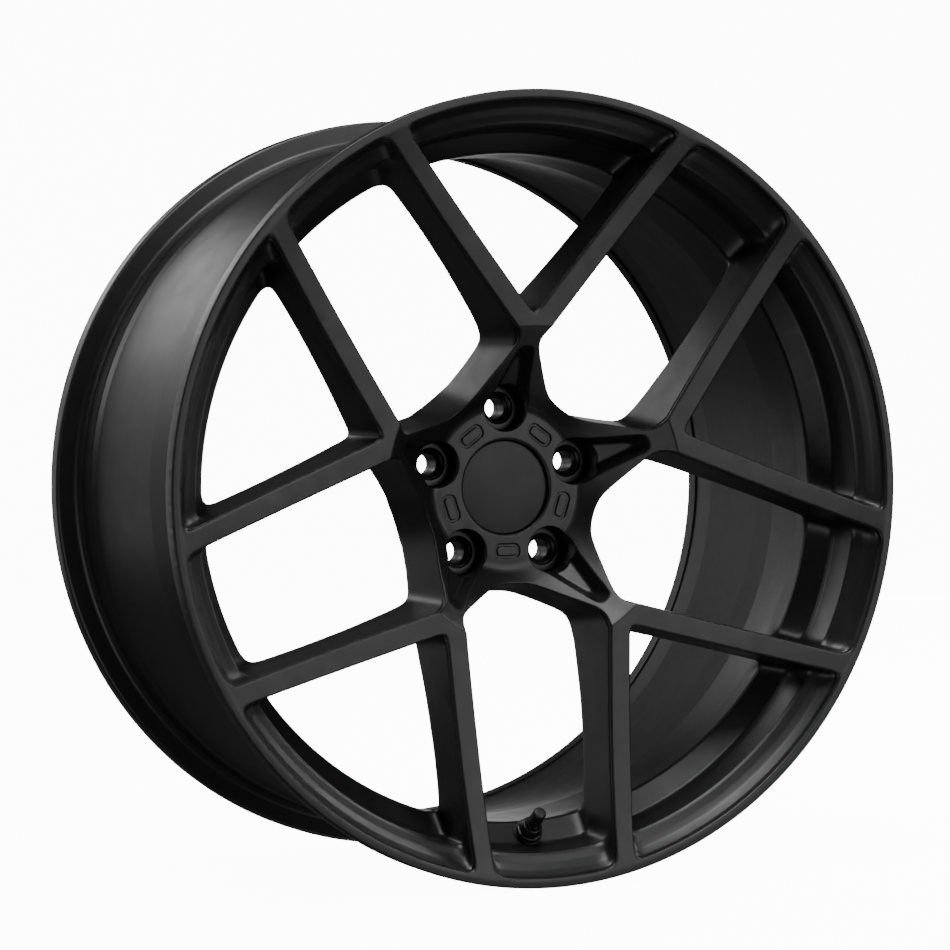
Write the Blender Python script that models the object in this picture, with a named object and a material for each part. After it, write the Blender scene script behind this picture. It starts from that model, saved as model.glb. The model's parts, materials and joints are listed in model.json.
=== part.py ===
"""Forged racing wheel rim, 20 x 9.5 J, five forked arms, with its centre cap and tyre valve.

The wheel's axis is Y with the street side toward -Y, +Z is up, and the origin is the
wheel's centre, midway between the two flanges. Lengths are in metres.
"""

import math

import bmesh
import bpy
from mathutils import Matrix, Vector

# Driving dimensions of the rim
FLANGE_RADIUS = 0.2737
OVERALL_WIDTH = 0.2710
FRONT = -OVERALL_WIDTH / 2
REAR = OVERALL_WIDTH / 2
BEAD_SEAT_RADIUS = 0.2564
DROP_CENTRE_RADIUS = 0.2385
RIM_SEGMENTS = 60

# Hub
ARMS = 5
ARM_PITCH = 360 / ARMS
FIRST_ARM_ANGLE = 90
BOLT_CIRCLE_RADIUS = 0.0560
HUB_FACE = -0.0620
MOUNTING_FACE = -0.0240
HUB_DISC_RADIUS = 0.0545
PILOT_BORE_RADIUS = 0.0333
PILOT_BORE_END = -0.0440
CAP_SEAT_RADIUS = 0.0334
CAP_SEAT_FLOOR = -0.0520
CAP_SNAP_RADIUS = 0.0296

# Centre cap
CAP_FACE = -0.0582
CAP_FACE_THICKNESS = 0.0014
CAP_PLATE_RADIUS = 0.0331
CAP_SEGMENTS = 40

# Lug bores and their pressed-in steel seats
COUNTERBORE_RADIUS = 0.0166
SEAT_SHELF = -0.0472
SEAT_FLANGE_RADIUS = 0.0158
SEAT_FLANGE_THICKNESS = 0.0020
SEAT_SLEEVE_RADIUS = 0.0125
SEAT_SLEEVE_LENGTH = 0.0160
SEAT_MOUTH_RADIUS = 0.0112
STUD_HOLE_RADIUS = 0.0074

# Spokes
CROTCH_RADIUS = 0.1193
BRANCH_ANGLE = 39
PLATE_FACE = -0.1140
WINDOW_FRONT = -0.1500
WINDOW_REAR = -0.0100
WINDOW_OUTER_EDGE = 0.3000

# Valve: where its axis meets the drop wall, and how far the axis leans from the radius
VALVE_ANGLE = -90
VALVE_SEAT_RADIUS = 0.2415
VALVE_SEAT_Y = -0.0879
VALVE_LEAN = 52
VALVE_HOLE_RADIUS = 0.0059
WALL_AT_VALVE = 0.0062
SPOT_FACE_RELIEF = 0.0004

# Valve heights, along its own axis from the drop wall, outward into the wheel
HEAD_TOP = -WALL_AT_VALVE - 0.0030
STEM_SHANK_RADIUS = 0.0055
STEM_TIP = 0.0240
STEM_THREAD_RADIUS = 0.0036
CORE_THREAD_RADIUS = 0.0026
CORE_TOP = 0.0225
CORE_END = 0.0020
PIN_RADIUS = 0.0008
NUT_LOW = 0.0014
NUT_HALF_ACROSS_FLATS = 0.0075
VALVE_CAP_SKIRT = 0.0155
VALVE_CAP_TOP = 0.0275
VALVE_CAP_BORE_RADIUS = 0.0042
VALVE_CAP_CEILING = STEM_TIP + 0.0016

# Clearance between pieces that touch on the real wheel
FIT = 0.0003

# Smooth-shaded edges stay sharp above this angle
SHARP_ANGLE = math.radians(35)


def material(name, colour, roughness, metallic):
    """A Principled material."""
    made = bpy.data.materials.new(name)
    made.use_nodes = True
    shader = made.node_tree.nodes["Principled BSDF"]
    shader.inputs["Base Color"].default_value = (*colour, 1)
    shader.inputs["Roughness"].default_value = roughness
    shader.inputs["Metallic"].default_value = metallic
    return made


def finished(name, bm, finish, matrix=None):
    """Turns a bmesh into a named, smooth-shaded object at matrix."""
    bmesh.ops.recalc_face_normals(bm, faces=bm.faces)
    mesh = bpy.data.meshes.new(name)
    bm.to_mesh(mesh)
    bm.free()
    mesh.shade_smooth()
    mesh.set_sharp_from_angle(angle=SHARP_ANGLE)
    if finish:
        mesh.materials.append(finish)
    piece = bpy.data.objects.new(name, mesh)
    bpy.context.scene.collection.objects.link(piece)
    if matrix:
        piece.matrix_world = matrix
    return piece


def turned(name, outline, segments, finish, matrix=None):
    """Revolves an outline of (radius, y) points about the local Y axis."""
    bm = bmesh.new()
    rings = []
    for radius, y in outline:
        count = segments if radius > 0 else 1
        turns = [2 * math.pi * k / segments for k in range(count)]
        rings.append([bm.verts.new((radius * math.cos(t), y, radius * math.sin(t))) for t in turns])
    for ring, following in zip(rings, rings[1:] + rings[:1]):
        for k in range(segments):
            n = k + 1
            corners = [ring[k % len(ring)], ring[n % len(ring)]]
            corners += [following[n % len(following)], following[k % len(following)]]
            distinct = list(dict.fromkeys(corners))
            if len(distinct) > 2:
                bm.faces.new(distinct)
    return finished(name, bm, finish, matrix)


def add_prism(bm, front, rear):
    """Adds a closed solid between two loops of 3-D points with matching counts."""
    near = [bm.verts.new(p) for p in front]
    far = [bm.verts.new(p) for p in rear]
    bm.faces.new(near)
    bm.faces.new(far)
    for k in range(len(near)):
        n = (k + 1) % len(near)
        bm.faces.new([near[k], near[n], far[n], far[k]])


def cutter(name, bm):
    """A tool solid that only Booleans use."""
    tool = finished(name, bm, None)
    tool.hide_render = True
    tool.display_type = "WIRE"
    return tool


def boolean(piece, tool, operation="DIFFERENCE"):
    """Adds an exact Boolean with tool to piece."""
    cut = piece.modifiers.new(tool.name, "BOOLEAN")
    cut.operation = operation
    cut.solver = "EXACT"
    cut.object = tool


def wheel_point(angle, across, out, y):
    """A point given by its place along and across a radius at angle degrees."""
    a = math.radians(angle)
    return Vector((out * math.cos(a) - across * math.sin(a), y, out * math.sin(a) + across * math.cos(a)))


def arm_angles():
    return [FIRST_ARM_ANGLE - ARM_PITCH * k for k in range(ARMS)]


def rounded(corners, radii, steps):
    """Replaces each corner of a 2-D outline by an arc of its own radius."""
    outline = []
    count = len(corners)
    for k, (corner, radius) in enumerate(zip(corners, radii)):
        if radius == 0:
            outline.append(corner)
            continue
        before = (corners[k - 1] - corner).normalized()
        after = (corners[(k + 1) % count] - corner).normalized()
        half = before.angle(after) / 2
        centre = corner + (before + after).normalized() * (radius / math.sin(half))
        start = corner + before * (radius / math.tan(half)) - centre
        end = corner + after * (radius / math.tan(half)) - centre
        sweep = start.angle_signed(end)
        for s in range(steps + 1):
            turn = Matrix.Rotation(-sweep * s / steps, 2)
            outline.append(centre + turn @ start)
    return outline


def drafted_corners(sides, y):
    """Corners of a window at depth y. Each side is (start, end, depth, draft in degrees)."""
    lines = []
    for start, end, depth, draft in sides:
        along = (Vector(end) - Vector(start)).normalized()
        inward = Vector((-along.y, along.x))
        lines.append((Vector(start) + inward * (y - depth) * math.tan(math.radians(draft)), along))
    corners = []
    for (point, along), (other, across) in zip(lines[-1:] + lines[:-1], lines):
        gap = other - point
        reach = (gap.x * across.y - gap.y * across.x) / (along.x * across.y - along.y * across.x)
        corners.append(point + along * reach)
    return corners


# Each window's sides run counterclockwise in (across, out) of its own radius.
def fork_window_sides():
    """The window between the two branches of one arm."""
    lean = math.radians(BRANCH_ANGLE)
    draft = 4
    spread = (WINDOW_OUTER_EDGE - CROTCH_RADIUS) * math.tan(lean)
    crotch = (0, CROTCH_RADIUS)
    right = (spread, WINDOW_OUTER_EDGE)
    left = (-spread, WINDOW_OUTER_EDGE)
    return [
        (crotch, right, PLATE_FACE, draft),
        (right, left, PLATE_FACE, 0),
        (left, crotch, PLATE_FACE, draft),
    ]


def arm_window_sides():
    """The window between two neighbouring arms."""
    hub = (0.0160, 0.0670)
    shoulder = (0.0560, 0.0895)
    rim = (0.0430, WINDOW_OUTER_EDGE)
    mirrored = lambda p: (-p[0], p[1])
    return [
        (mirrored(hub), hub, -0.0730, 10),
        (hub, shoulder, -0.0880, 7),
        (shoulder, rim, -0.1180, 4),
        (rim, mirrored(rim), -0.1180, 0),
        (mirrored(rim), mirrored(shoulder), -0.1180, 4),
        (mirrored(shoulder), mirrored(hub), -0.0880, 7),
    ]


def window_cutter():
    """All ten windows, each a drafted prism with rounded inner corners."""
    bm = bmesh.new()
    fork_radii = [0.0050, 0, 0]
    arm_radii = [0.0400, 0.0400, 0.0130, 0, 0, 0.0130]
    steps = 4
    for angle in arm_angles():
        for offset, sides, radii in (
            (0, fork_window_sides(), fork_radii),
            (ARM_PITCH / 2, arm_window_sides(), arm_radii),
        ):
            loops = []
            for y in (WINDOW_FRONT, WINDOW_REAR):
                outline = rounded(drafted_corners(sides, y), radii, steps)
                loops.append([wheel_point(angle + offset, p.x, p.y, y) for p in outline])
            add_prism(bm, *loops)
    return cutter("window_cutter", bm)


def lug_bore_cutter():
    """Five stepped bores for the seats and studs."""
    bm = bmesh.new()
    segments = 24
    shank_hole = STUD_HOLE_RADIUS + FIT
    sleeve_end = SEAT_SHELF + SEAT_SLEEVE_LENGTH + FIT
    outline = [
        (COUNTERBORE_RADIUS, WINDOW_FRONT),
        (COUNTERBORE_RADIUS, SEAT_SHELF),
        (SEAT_SLEEVE_RADIUS + FIT, SEAT_SHELF),
        (SEAT_SLEEVE_RADIUS + FIT, sleeve_end),
        (shank_hole, sleeve_end),
        (shank_hole, WINDOW_REAR),
    ]
    for angle in arm_angles():
        centre = wheel_point(angle, 0, BOLT_CIRCLE_RADIUS, 0)
        rings = []
        for radius, y in outline:
            turns = [2 * math.pi * k / segments for k in range(segments)]
            rim = [Vector((radius * math.cos(t), y, radius * math.sin(t))) for t in turns]
            rings.append([bm.verts.new(centre + p) for p in rim])
        bm.faces.new(rings[0])
        bm.faces.new(rings[-1])
        for ring, following in zip(rings, rings[1:]):
            for k in range(segments):
                n = (k + 1) % segments
                bm.faces.new([ring[k], ring[n], following[n], following[k]])
    return cutter("lug_bore_cutter", bm)


def arm_pocket_cutter():
    """Five tapering pockets that run from the lug bores up the arms, floors parallel to the dive."""
    bm = bmesh.new()
    floor = [(0.0096, 0.0640), (0.0020, 0.0935)]
    floor_near_hub = -0.0585
    floor_slope = -0.87
    rise = 0.0240
    widening = 0.0105
    for angle in arm_angles():
        corners = [Vector(p) for p in floor] + [Vector((-x, z)) for x, z in reversed(floor)]
        wide = [p + Vector((math.copysign(widening, p.x), 0)) for p in corners]
        for k in (1, 2):
            wide[k] += Vector((0, widening))
        low = rounded(corners, [0, 0.0015, 0.0015, 0], 2)
        high = rounded(wide, [0, 0.0060, 0.0060, 0], 2)
        depth = lambda out: floor_near_hub + floor_slope * (out - floor[0][1])
        bottom = [wheel_point(angle, p.x, p.y, depth(p.y)) for p in low]
        top = [wheel_point(angle, p.x, p.y, depth(p.y) - rise) for p in high]
        add_prism(bm, top, bottom)
    return cutter("arm_pocket_cutter", bm)


def hub_groove_cutter():
    """Five oblong grooves in the hub disc, each around a raised island."""
    bm = bmesh.new()
    centre_out = 0.0450
    outer_half = Vector((0.0098, 0.0052))
    inner_half = Vector((0.0078, 0.0032))
    above = HUB_FACE - 0.0030
    floor = HUB_FACE + 0.0014
    signs = [(1, -1), (1, 1), (-1, 1), (-1, -1)]
    for angle in arm_angles():
        loops = []
        for half, radius in ((outer_half, 0.0040), (inner_half, 0.0021)):
            corners = [Vector((half.x * sx, half.y * sy)) for sx, sy in signs]
            outline = rounded(corners, [radius] * 4, 2)
            for y in (above, floor):
                ring = [wheel_point(angle + ARM_PITCH / 2, p.x, centre_out + p.y, y) for p in outline]
                loops.append([bm.verts.new(p) for p in ring])
        outer_top, outer_floor, inner_top, inner_floor = loops
        for ring, following in (
            (outer_top, outer_floor),
            (outer_floor, inner_floor),
            (inner_floor, inner_top),
            (inner_top, outer_top),
        ):
            for k in range(len(ring)):
                n = (k + 1) % len(ring)
                bm.faces.new([ring[k], ring[n], following[n], following[k]])
    return cutter("hub_groove_cutter", bm)


def spider(finish):
    """The hub and arms as one turned disc with ten windows milled through it."""
    outline = [
        (0.0240, HUB_FACE),
        (HUB_DISC_RADIUS, HUB_FACE),
        (0.0600, -0.0642),
        (0.0665, -0.0705),
        (0.0800, -0.0828),
        (0.1080, -0.1095),
        (0.1120, -0.1132),
        (0.1220, PLATE_FACE),
        (0.1600, -0.1175),
        (0.2000, -0.1222),
        (0.2400, -0.1290),
        (0.2620, -0.1338),
        (0.2690, FRONT + FIT),
        (0.2690, -0.1310),
        (0.2625, -0.1238),
        (0.2540, -0.1165),
        (0.2520, -0.0990),
        (0.2440, -0.0880),
        (0.2360, -0.0820),
        (0.2000, -0.0810),
        (0.1600, -0.0730),
        (0.1220, -0.0600),
        (0.0900, -0.0380),
        (0.0790, -0.0260),
        (0.0770, MOUNTING_FACE),
        (0.0240, MOUNTING_FACE),
    ]
    disc = turned("spider", outline, RIM_SEGMENTS, finish)
    disc.hide_render = True
    disc.display_type = "WIRE"
    boolean(disc, window_cutter())
    return disc


def hub_bore_cutter():
    """The stepped centre bore: cap seat, snap ledge and hub pilot."""
    outline = [
        (0, WINDOW_FRONT),
        (CAP_SEAT_RADIUS + 0.0090, HUB_FACE - 0.0080),
        (CAP_SEAT_RADIUS, HUB_FACE + 0.0010),
        (CAP_SEAT_RADIUS, CAP_SEAT_FLOOR),
        (CAP_SNAP_RADIUS, CAP_SEAT_FLOOR),
        (CAP_SNAP_RADIUS, PILOT_BORE_END),
        (PILOT_BORE_RADIUS, PILOT_BORE_END),
        (PILOT_BORE_RADIUS, MOUNTING_FACE - 0.0010),
        (PILOT_BORE_RADIUS + 0.0110, MOUNTING_FACE + 0.0100),
        (0, MOUNTING_FACE + 0.0100),
    ]
    tool = turned("hub_bore_cutter", outline, CAP_SEGMENTS, None)
    tool.hide_render = True
    tool.display_type = "WIRE"
    return tool


def valve_frame():
    """Matrix whose local +Y is the valve's axis, pointing out of the drop wall into the wheel."""
    lean = math.radians(VALVE_LEAN)
    outward = wheel_point(VALVE_ANGLE, 0, 1, 0)
    axis = -outward * math.cos(lean) + Vector((0, -1, 0)) * math.sin(lean)
    across = outward.cross(Vector((0, 1, 0))).normalized()
    third = across.cross(axis)
    turn = Matrix((across, axis, third)).transposed().to_4x4()
    seat = outward * VALVE_SEAT_RADIUS + Vector((0, VALVE_SEAT_Y, 0))
    return Matrix.Translation(seat) @ turn


def valve_hole_cutter():
    """The valve's drilled hole with a flat spot face at each end."""
    spot_radius = 0.0110
    relief = SPOT_FACE_RELIEF
    reach = 0.0060
    outline = [
        (0, reach),
        (spot_radius, reach),
        (spot_radius, -relief),
        (VALVE_HOLE_RADIUS, -relief),
        (VALVE_HOLE_RADIUS, -WALL_AT_VALVE + relief),
        (spot_radius, -WALL_AT_VALVE + relief),
        (spot_radius, -WALL_AT_VALVE - reach),
        (0, -WALL_AT_VALVE - reach),
    ]
    tool = turned("valve_hole_cutter", outline, 24, None, valve_frame())
    tool.hide_render = True
    tool.display_type = "WIRE"
    return tool


def rim_outline():
    """The rim's section from the front flange over the tyre side to the rear, and back inside."""
    tyre_side = [
        (FLANGE_RADIUS - 0.0010, FRONT),
        (FLANGE_RADIUS, FRONT + 0.0010),
        (FLANGE_RADIUS, FRONT + 0.0128),
        (FLANGE_RADIUS - 0.0020, FRONT + 0.0148),
        (0.2600, FRONT + 0.0162),
        (BEAD_SEAT_RADIUS, FRONT + 0.0215),
        (0.2550, FRONT + 0.0375),
        (0.2556, FRONT + 0.0430),
        (0.2402, -0.0790),
        (DROP_CENTRE_RADIUS, -0.0730),
        (DROP_CENTRE_RADIUS, -0.0330),
        (0.2435, 0.0000),
        (0.2536, REAR - 0.0460),
        (0.2556, REAR - 0.0400),
        (0.2550, REAR - 0.0365),
        (BEAD_SEAT_RADIUS, REAR - 0.0215),
        (0.2600, REAR - 0.0162),
        (FLANGE_RADIUS - 0.0020, REAR - 0.0148),
        (FLANGE_RADIUS, REAR - 0.0128),
        (FLANGE_RADIUS, REAR - 0.0010),
        (FLANGE_RADIUS - 0.0010, REAR),
    ]
    inside = [
        (0.2520, REAR),
        (0.2504, REAR - 0.0016),
        (0.2504, REAR - 0.0125),
        (0.2518, REAR - 0.0140),
        (0.2508, REAR - 0.0380),
        (0.2392, 0.0040),
        (0.2340, -0.0310),
        (0.2338, -0.0800),
        (0.2348, -0.0826),
        (0.2478, -0.0928),
        (0.2495, -0.0975),
        (0.2510, -0.1175),
        (0.2530, -0.1196),
        (0.2575, -0.1222),
        (0.2620, -0.1258),
        (0.2658, -0.1312),
        (0.2672, FRONT),
    ]
    return tyre_side + inside


def wheel_forging(finish):
    """Rim, arms and hub: one monoblock forging."""
    wheel = turned("wheel_forging", rim_outline(), RIM_SEGMENTS, finish)
    boolean(wheel, spider(finish), "UNION")
    boolean(wheel, lug_bore_cutter())
    boolean(wheel, arm_pocket_cutter())
    boolean(wheel, hub_groove_cutter())
    boolean(wheel, hub_bore_cutter())
    boolean(wheel, valve_hole_cutter())
    return wheel


def lug_seats(finish):
    """Five pressed-in steel seats, each with a flange, a sleeve and a mouth that narrows in two steps."""
    flange_top = SEAT_SHELF - SEAT_FLANGE_THICKNESS
    shelf = SEAT_SHELF - FIT
    sleeve_end = SEAT_SHELF + SEAT_SLEEVE_LENGTH
    step_radius = (SEAT_MOUTH_RADIUS + STUD_HOLE_RADIUS) / 2
    outline = [
        (SEAT_MOUTH_RADIUS, flange_top),
        (SEAT_FLANGE_RADIUS - 0.0004, flange_top),
        (SEAT_FLANGE_RADIUS, flange_top + 0.0004),
        (SEAT_FLANGE_RADIUS, shelf),
        (SEAT_SLEEVE_RADIUS, shelf),
        (SEAT_SLEEVE_RADIUS, sleeve_end),
        (STUD_HOLE_RADIUS, sleeve_end),
        (STUD_HOLE_RADIUS, flange_top + 0.0060),
        (step_radius, flange_top + 0.0048),
        (step_radius, flange_top + 0.0034),
        (SEAT_MOUTH_RADIUS, flange_top + 0.0022),
    ]
    for number, angle in enumerate(arm_angles(), start=1):
        place = Matrix.Translation(wheel_point(angle, 0, BOLT_CIRCLE_RADIUS, 0))
        turned(f"lug_seat_{number}", outline, 20, finish, place)


def centre_cap_face(finish):
    """The blank trim disc bonded to the cap."""
    edge = 0.0004
    radius = CAP_PLATE_RADIUS - 0.0002
    back = CAP_FACE + CAP_FACE_THICKNESS
    outline = [(0, CAP_FACE), (radius - edge, CAP_FACE), (radius, CAP_FACE + edge), (radius, back), (0, back)]
    return turned("centre_cap_face", outline, CAP_SEGMENTS, finish)


def centre_cap_body(finish):
    """The cap's moulded plate with a ring of snap legs."""
    front = CAP_FACE + CAP_FACE_THICKNESS + FIT
    plate_back = CAP_SEAT_FLOOR - 0.0014
    leg_end = PILOT_BORE_END + 0.0060
    outline = [
        (0, front),
        (CAP_PLATE_RADIUS, front),
        (CAP_PLATE_RADIUS, plate_back),
        (0.0287, plate_back),
        (0.0287, PILOT_BORE_END + 0.0008),
        (0.0291, PILOT_BORE_END + 0.0030),
        (0.0283, leg_end),
        (0.0268, leg_end),
        (0.0268, PILOT_BORE_END + 0.0034),
        (0.0256, PILOT_BORE_END + 0.0026),
        (0.0256, PILOT_BORE_END + 0.0010),
        (0.0262, plate_back + 0.0020),
        (0, plate_back + 0.0010),
    ]
    body = turned("centre_cap_body", outline, CAP_SEGMENTS, finish)
    slots = 4
    half_width = 0.0022
    reach = 0.0320
    slot_start = plate_back + 0.0035
    for k in range(slots):
        angle = 180 * k / slots + 22.5
        corners = [(-half_width, -reach), (half_width, -reach), (half_width, reach), (-half_width, reach)]
        loops = [[wheel_point(angle, x, z, y) for x, z in corners] for y in (slot_start, leg_end + 0.002)]
        box = bmesh.new()
        add_prism(box, *loops)
        bmesh.ops.recalc_face_normals(box, faces=box.faces)
        slot = cutter(f"cap_slot_cutter_{k + 1}", box)
        boolean(body, slot)
    return body


def centre_cap_spring_ring(finish):
    """The open wire ring that presses the cap's legs outward."""
    wire_radius = 0.0006
    ring_radius = 0.0249
    y = PILOT_BORE_END + 0.0018
    gap = math.radians(14)
    points = 36
    curve = bpy.data.curves.new("centre_cap_spring_ring", "CURVE")
    curve.dimensions = "3D"
    curve.bevel_depth = wire_radius
    curve.bevel_resolution = 1
    curve.use_fill_caps = True
    spline = curve.splines.new("POLY")
    spline.points.add(points - 1)
    for k, point in enumerate(spline.points):
        t = gap / 2 + (2 * math.pi - gap) * k / (points - 1)
        point.co = (ring_radius * math.cos(t), y, ring_radius * math.sin(t), 1)
    curve.materials.append(finish)
    ring = bpy.data.objects.new("centre_cap_spring_ring", curve)
    bpy.context.scene.collection.objects.link(ring)
    return ring


def o_ring(name, radius, wire_radius, y, segments, finish, matrix=None):
    """A round-section rubber ring."""
    sides = 6
    turns = [2 * math.pi * k / sides for k in range(sides)]
    outline = [(radius + wire_radius * math.cos(t), y + wire_radius * math.sin(t)) for t in turns]
    return turned(name, outline, segments, finish, matrix)


def valve_stem(finish, place):
    """The clamp-in stem: a head on the tyre side, a threaded shank and a thinner cap thread."""
    bore = CORE_THREAD_RADIUS + FIT
    outline = [
        (bore, STEM_TIP),
        (STEM_THREAD_RADIUS, STEM_TIP),
        (STEM_THREAD_RADIUS, 0.0145),
        (STEM_SHANK_RADIUS, 0.0125),
        (STEM_SHANK_RADIUS, HEAD_TOP),
        (0.0092, HEAD_TOP),
        (0.0092, HEAD_TOP - 0.0026),
        (0.0016, HEAD_TOP - 0.0026),
        (0.0016, CORE_END - 0.0030),
        (bore, CORE_END - 0.0015),
    ]
    return turned("valve_stem", outline, 24, finish, place)


def valve_inner_seal(finish, place):
    """The rubber ring squeezed between the stem's head and the rim."""
    top = -WALL_AT_VALVE + SPOT_FACE_RELIEF - FIT
    low = HEAD_TOP + FIT
    inside = STEM_SHANK_RADIUS + FIT
    outline = [(inside, top), (0.0080, top), (0.0088, (top + low) / 2), (0.0080, low), (inside, low)]
    return turned("valve_inner_seal", outline, 24, finish, place)


def valve_washer(finish, place):
    """The round washer in the spot face."""
    inside = STEM_SHANK_RADIUS + FIT
    low = -SPOT_FACE_RELIEF + FIT
    top = low + 0.0012
    outline = [(inside, top), (0.0100, top), (0.0100, low), (inside, low)]
    return turned("valve_washer", outline, 24, finish, place)


def valve_nut(finish, place):
    """The clamp nut: a round flange under a domed hexagon."""
    low = NUT_LOW
    inside = STEM_SHANK_RADIUS + FIT
    outline = [(inside, low), (0.0094, low), (0.0094, low + 0.0030), (0.0082, low + 0.0080)]
    outline += [(0.0066, low + 0.0098), (inside, low + 0.0098)]
    nut = turned("valve_nut", outline, 24, finish, place)
    near = NUT_HALF_ACROSS_FLATS
    far = 0.0140
    corners = [(near, -far), (near + far, -far), (near + far, far), (near, far)]
    for k in range(6):
        turn = place @ Matrix.Rotation(math.radians(60 * k), 4, "Y")
        loops = [[turn @ Vector((x, y, z)) for x, z in corners] for y in (low + 0.0034, low + 0.0200)]
        box = bmesh.new()
        add_prism(box, *loops)
        boolean(nut, cutter(f"nut_flat_cutter_{k + 1}", box))
    return nut


def valve_core_body(finish, place):
    """The screwed-in core tube that carries the pin."""
    inside = PIN_RADIUS + FIT
    outline = [
        (inside, CORE_TOP - 0.0020),
        (0.0016, CORE_TOP - 0.0020),
        (CORE_THREAD_RADIUS, CORE_TOP - 0.0032),
        (CORE_THREAD_RADIUS, 0.0135),
        (0.0019, 0.0130),
        (0.0019, 0.0110),
        (inside, 0.0110),
    ]
    return turned("valve_core_body", outline, 16, finish, place)


def valve_core_gasket(finish, place):
    """The barrel seal under the core's thread."""
    top = 0.0130 - FIT
    outline = [(0.0019 + FIT, top), (0.0025, top), (0.0024, 0.0112), (0.0019 + FIT, 0.0112)]
    return turned("valve_core_gasket", outline, 16, finish, place)


def valve_core_pin(finish, place):
    """The pin that opens the valve, with its sealing cup at the inner end."""
    outline = [
        (0, CORE_TOP),
        (PIN_RADIUS, CORE_TOP),
        (PIN_RADIUS, 0.0100),
        (0.0017, 0.0100),
        (0.0017, 0.0086),
        (PIN_RADIUS, 0.0086),
        (PIN_RADIUS, 0.0042),
        (0, 0.0042),
    ]
    return turned("valve_core_pin", outline, 16, finish, place)


def valve_core_spring(finish, place):
    """The coil that holds the pin's cup shut."""
    turns = 4
    steps = 12
    low = 0.0012
    high = 0.0078
    curve = bpy.data.curves.new("valve_core_spring", "CURVE")
    curve.dimensions = "3D"
    curve.bevel_depth = 0.0002
    curve.bevel_resolution = 1
    curve.use_fill_caps = True
    spline = curve.splines.new("POLY")
    spline.points.add(turns * steps)
    for k, point in enumerate(spline.points):
        t = 2 * math.pi * k / steps
        y = low + (high - low) * k / (turns * steps)
        point.co = (0.0015 * math.cos(t), y, 0.0015 * math.sin(t), 1)
    curve.materials.append(finish)
    spring = bpy.data.objects.new("valve_core_spring", curve)
    bpy.context.scene.collection.objects.link(spring)
    spring.matrix_world = place
    return spring


def valve_cap(finish, place):
    """The screw-on dust cap."""
    outline = [
        (0, VALVE_CAP_TOP),
        (0.0036, VALVE_CAP_TOP),
        (0.0046, VALVE_CAP_TOP - 0.0012),
        (0.0050, VALVE_CAP_SKIRT + 0.0010),
        (0.0048, VALVE_CAP_SKIRT),
        (VALVE_CAP_BORE_RADIUS, VALVE_CAP_SKIRT),
        (VALVE_CAP_BORE_RADIUS, VALVE_CAP_CEILING),
        (0, VALVE_CAP_CEILING),
    ]
    return turned("valve_cap", outline, 24, finish, place)


def valve_cap_gasket(finish, place):
    """The ring in the cap's ceiling that seals on the stem's tip."""
    low = STEM_TIP + FIT
    high = VALVE_CAP_CEILING - FIT
    outline = [(0.0020, high), (0.0037, high), (0.0037, low), (0.0020, low)]
    return turned("valve_cap_gasket", outline, 24, finish, place)


def clear_scene():
    for old in list(bpy.data.objects):
        bpy.data.objects.remove(old, do_unlink=True)


def main():
    clear_scene()
    black_paint = material("satin_black_paint", (0.012, 0.012, 0.013), 0.42, 0.0)
    black_steel = material("black_steel", (0.020, 0.020, 0.022), 0.38, 0.8)
    black_plastic = material("black_plastic", (0.014, 0.014, 0.015), 0.5, 0.0)
    rubber = material("rubber", (0.010, 0.010, 0.010), 0.8, 0.0)
    spring_steel = material("spring_steel", (0.45, 0.45, 0.46), 0.3, 1.0)
    brass = material("brass", (0.60, 0.42, 0.16), 0.3, 1.0)

    wheel_forging(black_paint)
    lug_seats(black_steel)
    centre_cap_face(black_paint)
    centre_cap_body(black_plastic)
    centre_cap_spring_ring(spring_steel)
    o_ring("centre_cap_o_ring", 0.0314, 0.0005, CAP_SEAT_FLOOR - 0.0008, CAP_SEGMENTS, rubber)

    place = valve_frame()
    valve_stem(black_steel, place)
    valve_inner_seal(rubber, place)
    valve_washer(black_steel, place)
    valve_nut(black_steel, place)
    valve_core_body(brass, place)
    valve_core_gasket(rubber, place)
    valve_core_pin(brass, place)
    valve_core_spring(spring_steel, place)
    valve_cap(black_plastic, place)
    valve_cap_gasket(rubber, place)


main()
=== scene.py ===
"""Visual model of the forged racing wheel rim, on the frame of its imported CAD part.

The wheel's axis is Y with the street side toward -Y, +Z is up, and lengths are in metres.
The forging's face is meshed from a signed distance field, so that every wall, edge and
corner meets its neighbour in a true fillet. The barrel and the small pieces are turned.
"""

import json
import math

import bmesh
import bpy
import numpy as np
from mathutils import Matrix, Vector


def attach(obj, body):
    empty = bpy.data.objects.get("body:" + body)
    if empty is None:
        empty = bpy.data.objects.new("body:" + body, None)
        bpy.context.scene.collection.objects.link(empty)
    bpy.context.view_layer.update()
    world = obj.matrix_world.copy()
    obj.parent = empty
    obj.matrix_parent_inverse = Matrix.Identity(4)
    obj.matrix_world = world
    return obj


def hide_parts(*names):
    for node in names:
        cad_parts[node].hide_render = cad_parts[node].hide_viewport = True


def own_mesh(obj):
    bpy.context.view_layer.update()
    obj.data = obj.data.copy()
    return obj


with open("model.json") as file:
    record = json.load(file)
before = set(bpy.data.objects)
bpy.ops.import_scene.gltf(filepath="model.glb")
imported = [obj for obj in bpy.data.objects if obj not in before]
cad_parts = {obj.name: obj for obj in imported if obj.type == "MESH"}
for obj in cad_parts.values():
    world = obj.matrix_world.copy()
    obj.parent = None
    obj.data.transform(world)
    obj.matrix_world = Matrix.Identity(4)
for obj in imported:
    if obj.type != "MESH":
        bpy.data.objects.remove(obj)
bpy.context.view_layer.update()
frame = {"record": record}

RECORD = frame["record"]

# Rim
FLANGE_RADIUS = 0.2737
FRONT = -0.1355
REAR = 0.1355
BEAD_SEAT_RADIUS = 0.2564
DROP_CENTRE_RADIUS = 0.2385

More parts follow.
